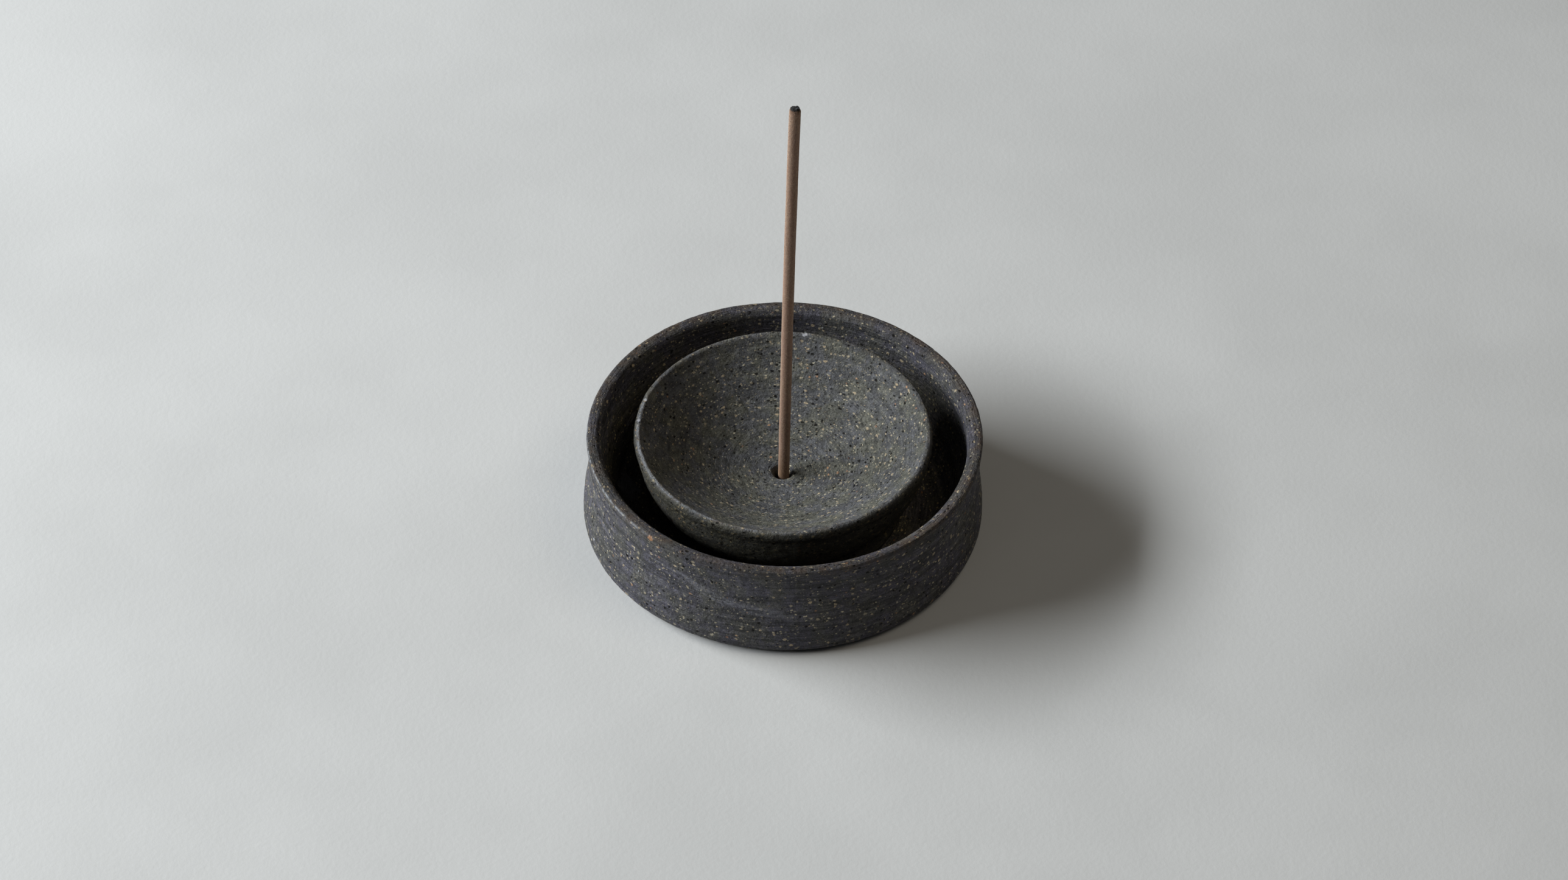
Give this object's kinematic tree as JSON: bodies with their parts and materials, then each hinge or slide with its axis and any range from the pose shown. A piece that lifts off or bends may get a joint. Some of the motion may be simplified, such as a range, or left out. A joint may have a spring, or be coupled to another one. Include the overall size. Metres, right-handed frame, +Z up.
{
  "type": "incense burner",
  "caption": "Round stoneware incense burner: upright-walled ash tray, loose dished holder with a stick hole, and a standing incense stick.",
  "frame": {"origin": "centre of the tray's flat base", "axes": "+Z up along the tray's axis, +X towards the side that the stick leans to, +Y away from the front"},
  "size_m": [0.1, 0.1, 0.1323],
  "materials": {
    "stoneware": "unglazed grey-brown speckled stoneware, matt",
    "incense": "pressed incense paste, matt tan, with a charred tip"
  },
  "bodies": {
    "tray": {"tray": "stoneware"},
    "holder": {"holder": "stoneware"},
    "stick": {"incense_stick": "incense"}
  },
  "joints": [
    {"name": "holder_lift", "type": "slide", "parent": "tray", "child": "holder", "axis": [0, 0, 1], "range_m": [0, 0.035]},
    {"name": "stick_lift", "type": "slide", "parent": "holder", "child": "stick", "axis": [0.0131, 0, 0.9999], "range_m": [0, 0.03]}
  ]
}
